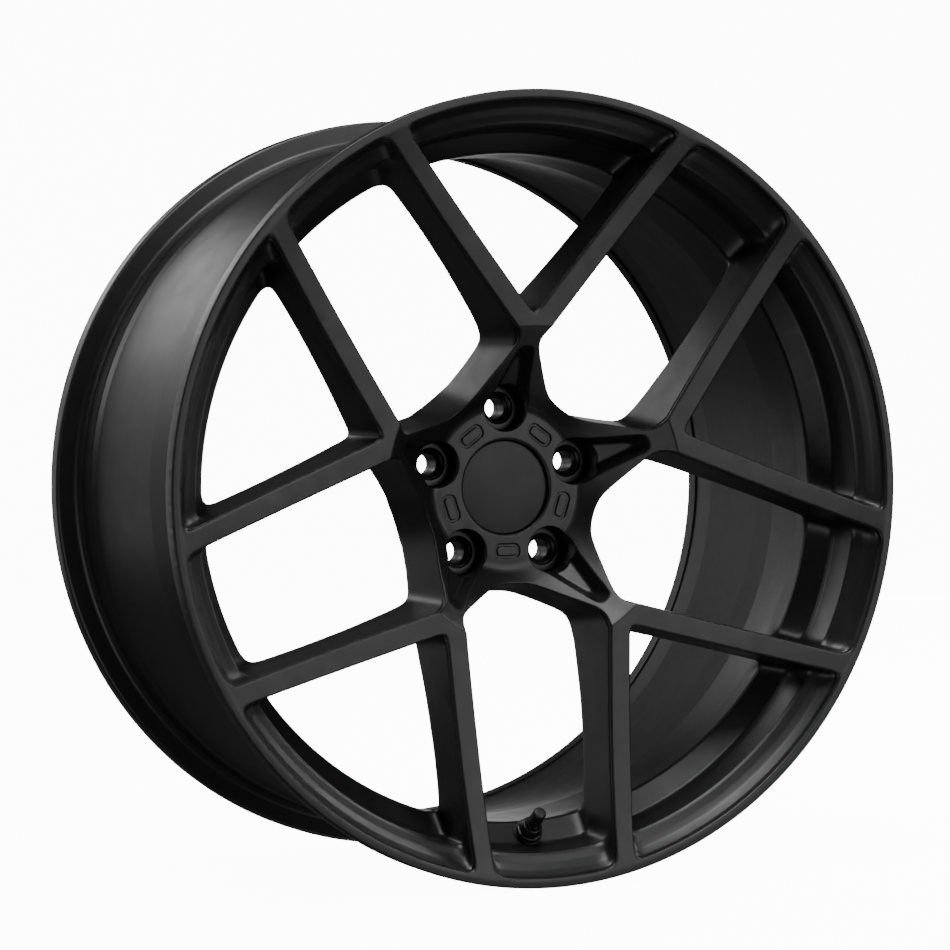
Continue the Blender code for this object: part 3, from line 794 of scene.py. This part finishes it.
def cap_body():
    """The moulded plate, and behind it a ring of eight separate snap legs."""
    front = CAP_FACE + CAP_FACE_THICKNESS + FIT
    plate_back = CAP_SEAT_FLOOR - 0.0014
    leg_end = PILOT_BORE_END + 0.0060
    plate = turned("cap_plate", rounded_section([
        (0, front, 0),
        (CAP_PLATE_RADIUS, front, 0.0002),
        (CAP_PLATE_RADIUS, plate_back, 0.0002),
        (0.0287, plate_back, 0),
        (0.0287, plate_back + 0.0034, 0),
        (0.0262, plate_back + 0.0034, 0.0004),
        (0.0262, plate_back + 0.0012, 0.0006),
        (0, plate_back + 0.0010, 0),
    ]), CAP_SEGMENTS)
    leg = filleted([
        (0.0262, plate_back + 0.0030, 0),
        (0.0287, plate_back + 0.0030, 0),
        (0.0287, PILOT_BORE_END + 0.0008, 0.0004),
        (0.0291, PILOT_BORE_END + 0.0030, 0.0006),
        (0.0283, leg_end, 0.0003),
        (0.0268, leg_end, 0.0003),
        (0.0268, PILOT_BORE_END + 0.0034, 0.0002),
        (0.0256, PILOT_BORE_END + 0.0026, 0.0002),
        (0.0256, PILOT_BORE_END + 0.0010, 0.0004),
    ], 3)
    legs = 8
    half_slot = 0.0022
    steps = 12
    points, faces = [], []
    for k in range(legs):
        middle = 2 * math.pi * (k + 1) / legs
        start = len(points)
        for s in range(steps + 1):
            for radius, y in leg:
                half = math.pi / legs - math.asin(half_slot / radius)
                t = middle + half * (2 * s / steps - 1)
                points.append((radius * math.cos(t), y, radius * math.sin(t)))
        count = len(leg)
        for s in range(steps):
            for n in range(count):
                a, b = start + s * count + n, start + s * count + (n + 1) % count
                faces.append((a, b, b + count, a + count))
        faces.append(tuple(range(start, start + count)))
        last = start + steps * count
        faces.append(tuple(range(last + count - 1, last - 1, -1)))
    mesh = bpy.data.meshes.new("cap_legs")
    mesh.from_pydata(points, [], faces)
    outward(mesh)
    mesh.shade_smooth()
    mesh.set_sharp_from_angle(angle=math.radians(35))
    ring = linked("cap_legs", mesh)
    return plate, ring


def tube(name, path, radius, sides, closed=False, place=None):
    """A round wire along a path of points, with flat ends."""
    path = [Vector(p) for p in path]
    count = len(path)
    points, faces = [], []
    for k, p in enumerate(path):
        if closed:
            along = path[(k + 1) % count] - path[k - 1]
        else:
            along = path[min(k + 1, count - 1)] - path[max(k - 1, 0)]
        side = along.cross(Vector((0, 1, 0))).normalized()
        up = side.cross(along).normalized()
        for s in range(sides):
            t = 2 * math.pi * s / sides
            points.append(p + side * radius * math.cos(t) + up * radius * math.sin(t))
    for k in range(count if closed else count - 1):
        for s in range(sides):
            a, b = k * sides + s, k * sides + (s + 1) % sides
            c, d = ((k + 1) % count) * sides + (s + 1) % sides, ((k + 1) % count) * sides + s
            faces.append((a, b, c, d))
    if not closed:
        faces.append(tuple(range(sides))[::-1])
        faces.append(tuple(range((count - 1) * sides, count * sides)))
    mesh = bpy.data.meshes.new(name)
    mesh.from_pydata([tuple(p) for p in points], [], faces)
    if place:
        mesh.transform(place)
    outward(mesh)
    mesh.shade_smooth()
    mesh.set_sharp_from_angle(angle=math.radians(50))
    return linked(name, mesh)


def spring_ring():
    """The round wire inside the snap legs, open by a small gap."""
    gap = math.radians(14)
    radius, wire = 0.0249, 0.0006
    count, sides = 120, 12
    y = PILOT_BORE_END + 0.0018
    path = []
    for k in range(count + 1):
        t = gap / 2 + (2 * math.pi - gap) * k / count
        path.append((radius * math.cos(t), y, radius * math.sin(t)))
    return tube("wire_ring", path, wire, sides)


def ring_section(radius, y, wire):
    """The round section of a ring of wire or rubber."""
    turns = np.arange(12) * math.pi / 6
    return [(radius + wire * math.cos(t), y + wire * math.sin(t)) for t in turns]


# ---------------------------------------------------------------- valve


def valve_frame():
    """Matrix whose local +Y is the valve's axis."""
    outward_way = Vector((0, 0, -1))
    axis = -outward_way * math.cos(VALVE_LEAN) + Vector((0, -1, 0)) * math.sin(VALVE_LEAN)
    across = outward_way.cross(Vector((0, 1, 0))).normalized()
    third = across.cross(axis)
    turn = Matrix((across, axis, third)).transposed().to_4x4()
    seat = outward_way * VALVE_SEAT_RADIUS + Vector((0, VALVE_SEAT_Y, 0))
    return Matrix.Translation(seat) @ turn


def threaded(low, high, pitch, depth):
    """A radius change that cuts a helical thread between two heights."""

    def shape(radius, y, turn):
        if not low <= y <= high:
            return radius
        phase = (y / pitch + turn / (2 * math.pi)) % 1
        fade = min(1, (high - y) / pitch, (y - low) / pitch)
        return radius - depth * fade * abs(2 * phase - 1)

    return shape


def valve_stem(place):
    """The stem: head on the tyre side, plain shank and threaded, hollow tip."""
    bore = CORE_THREAD_RADIUS + FIT
    pitch = 0.0008
    thread = [(STEM_THREAD_RADIUS, y) for y in np.arange(STEM_TIP - 0.0003, 0.0150, -pitch / 8)]
    section = [(bore, STEM_TIP), (STEM_THREAD_RADIUS - 0.0003, STEM_TIP)]
    section += thread
    section += rounded_section([
        (STEM_THREAD_RADIUS, 0.0145, 0.0004),
        (STEM_SHANK_RADIUS, 0.0125, 0.0004),
        (STEM_SHANK_RADIUS, HEAD_TOP, 0.0002),
        (0.0092, HEAD_TOP, 0.0004),
        (0.0092, HEAD_TOP - 0.0026, 0.0006),
        (0.0016, HEAD_TOP - 0.0026, 0.0003),
        (0.0016, CORE_END - 0.0030, 0),
        (bore, CORE_END - 0.0015, 0),
    ])
    return turned("stem", section, 64, place, threaded(0.0150, STEM_TIP, pitch, 0.0003))


def hexagonal(radius, y, turn):
    """Cuts six flats above the nut's round flange."""
    if y < NUT_LOW + 0.0034 or radius < NUT_HALF_ACROSS_FLATS:
        return radius
    off = (turn + math.pi / 6) % (math.pi / 3) - math.pi / 6
    return min(radius, NUT_HALF_ACROSS_FLATS / math.cos(off))


def valve_nut(place):
    """The nut: a round flange below six flats with a chamfered top."""
    low = NUT_LOW
    inside = STEM_SHANK_RADIUS + FIT
    section = [(inside, low), (0.0092, low), (0.0094, low + 0.0003), (0.0094, low + 0.0024)]
    section += [(0.0091, low + 0.0030), (0.00885, low + 0.00335), (0.00875, low + 0.0036)]
    section += [(0.0086 - 0.00002 * k * k, low + 0.0040 + 0.0005 * k) for k in range(8)]
    section += [(0.0074, low + 0.0082), (0.0070, low + 0.0090), (0.0066, low + 0.0096)]
    section += [(0.0062, low + 0.0098), (inside, low + 0.0098)]
    return turned("hex_nut", section, 96, place, hexagonal)


def ribbed(radius, y, turn):
    """Grip ribs around the dust cap's side."""
    if radius < 0.0043 or not VALVE_CAP_SKIRT + 0.0008 < y < VALVE_CAP_TOP - 0.0013:
        return radius
    return radius - 0.00022 * (0.5 + 0.5 * math.cos(20 * turn)) ** 2


def valve_cap(place):
    """The dust cap, a little wider at its skirt, with a sealed bore from below."""
    ribs_top, ribs_height = VALVE_CAP_TOP - 0.00131, 0.0097
    side = [(0.0046, VALVE_CAP_TOP - 0.0012)]
    for share in np.linspace(0, 1, 9):
        side.append((0.0046 + 0.0004 * share, ribs_top - ribs_height * share))
    section = [(0, VALVE_CAP_TOP), (0.0030, VALVE_CAP_TOP), (0.0036, VALVE_CAP_TOP - 0.0001)]
    section += [(0.0042, VALVE_CAP_TOP - 0.0005)] + side
    section += [(0.0050, VALVE_CAP_SKIRT + 0.0006), (0.0048, VALVE_CAP_SKIRT)]
    section += [(VALVE_CAP_BORE_RADIUS, VALVE_CAP_SKIRT)]
    section += [(VALVE_CAP_BORE_RADIUS, VALVE_CAP_CEILING), (0, VALVE_CAP_CEILING)]
    return turned("dust_cap", section, 160, place, ribbed, 45)


def coil(place):
    """The spring under the valve core's pin."""
    turns, steps = 4, 28
    low, high = 0.0012, 0.0078
    radius, wire = 0.0015, 0.0002
    count = turns * steps
    path = []
    for k in range(count + 1):
        t = 2 * math.pi * k / steps
        path.append((radius * math.cos(t), low + (high - low) * k / count, radius * math.sin(t)))
    return tube("pin_spring", path, wire, 8, place=place)


# ---------------------------------------------------------------- finishes


class Nodes:
    """Short hand for building a material's node tree."""

    def __init__(self, name):
        self.material = bpy.data.materials.new(name)
        self.material.use_nodes = True
        self.tree = self.material.node_tree
        self.shader = self.tree.nodes["Principled BSDF"]
        self.coordinates = self.tree.nodes.new("ShaderNodeTexCoord").outputs["Object"]

    def noise(self, scale, detail):
        """Noise over the object's own coordinates."""
        node = self.tree.nodes.new("ShaderNodeTexNoise")
        node.inputs["Scale"].default_value = scale
        node.inputs["Detail"].default_value = detail
        node.inputs["Roughness"].default_value = 0.5
        self.tree.links.new(self.coordinates, node.inputs["Vector"])
        return node.outputs["Fac"]

    def span(self, source, low, high):
        """Carries the middle of a noise's range to low and high."""
        node = self.tree.nodes.new("ShaderNodeMapRange")
        node.inputs["From Min"].default_value = 0.3
        node.inputs["From Max"].default_value = 0.7
        node.inputs["To Min"].default_value = low
        node.inputs["To Max"].default_value = high
        self.tree.links.new(source, node.inputs["Value"])
        return node.outputs["Result"]

    def mixed(self, share, first, second):
        """A colour between two others."""
        node = self.tree.nodes.new("ShaderNodeMix")
        node.data_type = "RGBA"
        self.tree.links.new(share, node.inputs["Factor"])
        colours = [socket for socket in node.inputs if socket.type == "RGBA"]
        colours[0].default_value = (*first, 1)
        colours[1].default_value = (*second, 1)
        return [socket for socket in node.outputs if socket.type == "RGBA"][0]

    def bump(self, height, strength, distance):
        """Roughens the surface's shading by a height."""
        node = self.tree.nodes.new("ShaderNodeBump")
        node.inputs["Strength"].default_value = strength
        node.inputs["Distance"].default_value = distance
        self.tree.links.new(height, node.inputs["Height"])
        self.tree.links.new(node.outputs["Normal"], self.shader.inputs["Normal"])

    def set(self, socket, value):
        """Links a socket of the shader to another, or sets it to a value."""
        if isinstance(value, bpy.types.NodeSocket):
            self.tree.links.new(value, self.shader.inputs[socket])
        else:
            self.shader.inputs[socket].default_value = value


def finish(name, dark, light, rough, metallic, grain, bump):
    """A finish whose colour and roughness drift slightly and whose surface has a fine texture."""
    n = Nodes(name)
    drift = n.span(n.noise(14, 2), 0, 1)
    n.set("Base Color", n.mixed(drift, dark, light))
    n.set("Roughness", n.span(n.noise(60, 3), *rough))
    n.set("Metallic", metallic)
    n.set("Specular IOR Level", 0.5)
    n.bump(n.noise(grain, 2), bump, 0.0002)
    return n.material


# Each finish: name, darker and lighter colour, roughness range, metallic, grain scale and bump
FINISHES = {
    "forging": finish(
        "satin_black_coat", (0.005, 0.005, 0.0052), (0.0058, 0.0058, 0.006), (0.36, 0.42), 0, 1400, 0.1
    ),
    "lug_seats": finish(
        "black_steel", (0.012, 0.012, 0.0125), (0.017, 0.017, 0.018), (0.30, 0.40), 0.4, 1800, 0.08
    ),
    "cap_face": finish(
        "black_disc", (0.0075, 0.0075, 0.0077), (0.0085, 0.0085, 0.0087), (0.44, 0.50), 0, 1600, 0.08
    ),
    "cap_body": finish(
        "black_nylon", (0.006, 0.006, 0.006), (0.009, 0.009, 0.009), (0.50, 0.60), 0, 900, 0.15
    ),
    "spring_steel": finish(
        "spring_steel", (0.42, 0.42, 0.43), (0.52, 0.52, 0.53), (0.24, 0.34), 1, 2400, 0.06
    ),
    "seal_rubber": finish(
        "seal_rubber", (0.008, 0.008, 0.008), (0.013, 0.013, 0.013), (0.70, 0.85), 0, 1200, 0.2
    ),
    "valve_metal": finish(
        "black_anodised", (0.006, 0.006, 0.0065), (0.010, 0.010, 0.0105), (0.30, 0.38), 0.3, 2000, 0.06
    ),
    "valve_brass": finish(
        "brass", (0.52, 0.36, 0.13), (0.62, 0.44, 0.18), (0.26, 0.36), 1, 2200, 0.06
    ),
    "valve_cap": finish(
        "black_cap", (0.006, 0.006, 0.006), (0.009, 0.009, 0.009), (0.36, 0.44), 0, 1500, 0.1
    ),
}

BODIES = RECORD["behaviour"]["bodies"]
BODY_OF = {node: body for body, nodes in BODIES.items() for node in nodes}
SLOT_OF = {part["node"]: part["material_slot"] for part in RECORD["subparts"]}


def stands_for(piece, node):
    """Gives a piece its CAD node's body, slot and finish, and hides that node."""
    piece.data.materials.clear()
    piece.data.materials.append(FINISHES[SLOT_OF[node]])
    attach(piece, BODY_OF[node])
    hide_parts(node)


def build_rim():
    """The forging's two meshes and the five seats."""
    stands_for(wheel_face(), "wheel_forging")
    stands_for(wheel_barrel(), "wheel_forging")
    for number, angle in enumerate(arm_angles(), start=1):
        stands_for(lug_seat(number, angle), f"lug_seat_{number}")


def build_centre_cap():
    """The cap's disc, body, wire and O-ring."""
    stands_for(cap_face(), "centre_cap_face")
    for piece in cap_body():
        stands_for(piece, "centre_cap_body")
    stands_for(spring_ring(), "centre_cap_spring_ring")
    section = ring_section(0.0314, CAP_SEAT_FLOOR - 0.0008, 0.0005)
    stands_for(turned("cap_o_ring", section, CAP_SEGMENTS, sharp=60), "centre_cap_o_ring")


def build_valve():
    """The valve's pieces, from the stem inside the rim to the dust cap."""
    place = valve_frame()
    bore_room = STEM_SHANK_RADIUS + FIT
    seal_top = -WALL_AT_VALVE + SPOT_FACE_RELIEF - FIT
    seal_low = HEAD_TOP + FIT
    washer_low = -SPOT_FACE_RELIEF + FIT
    stands_for(valve_stem(place), "valve_stem")
    seal = rounded_section([
        (bore_room, seal_top, 0.0002),
        (0.0080, seal_top, 0.0004),
        (0.0088, (seal_top + seal_low) / 2, 0.0010),
        (0.0080, seal_low, 0.0004),
        (bore_room, seal_low, 0.0002),
    ])
    stands_for(turned("squeezed_seal", seal, 64, place), "valve_inner_seal")
    washer = rounded_section([
        (bore_room, washer_low + 0.0012, 0.0002),
        (0.0100, washer_low + 0.0012, 0.0003),
        (0.0100, washer_low, 0.0001),
        (bore_room, washer_low, 0),
    ])
    stands_for(turned("washer", washer, 96, place), "valve_washer")
    stands_for(valve_nut(place), "valve_nut")
    inside = PIN_RADIUS + FIT
    core = [
        (inside, CORE_TOP - 0.0020),
        (0.0016, CORE_TOP - 0.0020),
        (CORE_THREAD_RADIUS, CORE_TOP - 0.0032),
    ]
    core += [(CORE_THREAD_RADIUS, y) for y in np.arange(CORE_TOP - 0.0034, 0.0136, -0.0001)]
    core += [(CORE_THREAD_RADIUS, 0.0135), (0.0019, 0.0130), (0.0019, 0.0110), (inside, 0.0110)]
    core_thread = threaded(0.0137, CORE_TOP - 0.0032, 0.0007, 0.0002)
    stands_for(turned("core_tube", core, 48, place, core_thread), "valve_core_body")
    seat_top = 0.0130 - FIT
    gasket = [(0.0019 + FIT, seat_top), (0.0025, seat_top), (0.0024, 0.0112), (0.0019 + FIT, 0.0112)]
    stands_for(turned("core_seal", gasket, 48, place), "valve_core_gasket")
    pin = rounded_section([
        (0, CORE_TOP, 0),
        (PIN_RADIUS, CORE_TOP, 0.0002),
        (PIN_RADIUS, 0.0100, 0.0001),
        (0.0017, 0.0100, 0.0001),
        (0.0017, 0.0086, 0.0001),
        (PIN_RADIUS, 0.0086, 0.0001),
        (PIN_RADIUS, 0.0042, 0.0001),
        (0, 0.0042, 0),
    ])
    stands_for(turned("pin", pin, 32, place), "valve_core_pin")
    spring = coil(place)
    stands_for(spring, "valve_core_spring")
    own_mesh(spring)
    stands_for(valve_cap(place), "valve_cap")
    disc = [(0.0020, VALVE_CAP_CEILING - FIT), (0.0037, VALVE_CAP_CEILING - FIT)]
    disc += [(0.0037, STEM_TIP + FIT), (0.0020, STEM_TIP + FIT)]
    stands_for(turned("cap_seal", disc, 64, place), "valve_cap_gasket")


# ---------------------------------------------------------------- studio


def studio_floor():
    """A round pale sheet that curves up into a wall all around the wheel.

    The wheel neither mirrors it nor is lit by it, so that the dark inside of the rim stays dark.
    """
    floor_z = -FLANGE_RADIUS - 0.0002
    flat, bend, top = 3.5, 2.0, 7.0
    profile = [(0.5 * k, floor_z) for k in range(1, 8)]
    for k in range(1, 17):
        t = math.pi / 2 * k / 16
        profile.append((flat + bend * math.sin(t), floor_z + bend * (1 - math.cos(t))))
    profile.append((flat + bend, top))
    segments = 64
    points = [(0, 0, floor_z)]
    for radius, z in profile:
        for k in range(segments):
            t = 2 * math.pi * k / segments
            points.append((radius * math.cos(t), radius * math.sin(t), z))
    faces = [(0, 1 + k, 1 + (k + 1) % segments) for k in range(segments)]
    for row in range(len(profile) - 1):
        low = 1 + row * segments
        for k in range(segments):
            n = (k + 1) % segments
            faces.append((low + k, low + segments + k, low + segments + n, low + n))
    mesh = bpy.data.meshes.new("studio_sheet")
    mesh.from_pydata(points, [], faces)
    mesh.shade_smooth()
    sheet = linked("studio_sheet", mesh)
    sheet.visible_glossy = False
    sheet.visible_diffuse = False
    sheet.visible_shadow = False
    n = Nodes("white_paper")
    n.set("Base Color", n.mixed(n.span(n.noise(2, 2), 0, 1), (0.86, 0.86, 0.86), (0.90, 0.90, 0.90)))
    n.set("Roughness", 0.9)
    n.set("Specular IOR Level", 0.2)
    n.set("Emission Color", (1, 1, 1, 1))
    n.set("Emission Strength", SHEET_GLOW)
    mesh.materials.append(n.material)


def softbox(name, place, width, height, watts):
    """A rectangular lamp at place that faces the wheel's centre."""
    lamp = bpy.data.lights.new(name, "AREA")
    lamp.shape = "RECTANGLE"
    lamp.size, lamp.size_y = width, height
    lamp.energy = watts
    box = bpy.data.objects.new(name, lamp)
    box.location = place
    box.rotation_mode = "QUATERNION"
    box.rotation_quaternion = (-place).to_track_quat("-Z", "Y")
    bpy.context.scene.collection.objects.link(box)


def studio_lights():
    """Softboxes that face the wheel: direction from it, distance, width, height and brightness."""
    boxes = {
        "front_right": ((0.45, -0.90, 0.10), 3.2, 1.8, 1.8, 2.2),
        "front_high": ((0.35, -0.75, 0.60), 3.2, 1.6, 1.6, 2.6),
        "right": ((0.95, 0.20, -0.10), 2.8, 1.8, 1.8, 5.0),
        "right_high": ((0.80, 0.10, 0.60), 2.8, 1.6, 1.6, 14.0),
        "overhead": ((-0.15, -0.25, 0.95), 2.8, 1.6, 1.6, 9.0),
        "low_front": ((0.30, -0.30, -0.90), 2.8, 1.6, 1.6, 0.8),
        "left_low": ((-0.76, -0.51, -0.38), 2.8, 1.6, 1.6, 1.6),
        "left_high": ((-0.80, 0.50, 0.50), 3.0, 1.4, 1.4, 3.5),
        "back_left": ((-0.40, 0.90, 0.05), 3.4, 1.2, 1.6, 0.8),
        "behind": ((0.55, 0.80, 0.10), 3.0, 1.2, 1.2, 1.6),
        "back_left_high": ((-0.12, 0.90, 0.42), 3.2, 1.0, 0.8, 0.3),
        "edge": ((-0.45, 1.00, 0.60), 1.25, 0.45, 0.45, 3.2),
    }
    for name, (way, distance, width, height, brightness) in boxes.items():
        watts = math.pi * width * height * brightness
        softbox(name, Vector(way).normalized() * distance, width, height, watts)
    world = bpy.data.worlds.new("studio")
    world.use_nodes = True
    world.node_tree.nodes["Background"].inputs["Color"].default_value = (1, 1, 1, 1)
    world.node_tree.nodes["Background"].inputs["Strength"].default_value = WORLD_STRENGTH
    bpy.context.scene.world = world


def camera():
    """The view from the street side, a little to the left of the wheel's axis."""
    azimuth, elevation, roll = (math.radians(a) for a in CAMERA_ANGLES)
    back = Vector((
        math.sin(azimuth) * math.cos(elevation),
        -math.cos(azimuth) * math.cos(elevation),
        math.sin(elevation),
    ))
    right = (-back).cross(Vector((0, 0, 1))).normalized()
    up = right.cross(-back)
    across = right * math.cos(roll) + up * math.sin(roll)
    above = up * math.cos(roll) - right * math.sin(roll)
    turn = Matrix((across, above, back)).transposed().to_4x4()
    data = bpy.data.cameras.new("camera")
    data.lens = CAMERA_LENS
    data.sensor_width = CAMERA_SENSOR
    eye = bpy.data.objects.new("camera", data)
    spot = Vector(CAMERA_TARGET) + back * CAMERA_DISTANCE
    eye.matrix_world = Matrix.Translation(spot) @ turn
    bpy.context.scene.collection.objects.link(eye)
    bpy.context.scene.camera = eye


build_rim()
build_centre_cap()
build_valve()
studio_floor()
studio_lights()
camera()
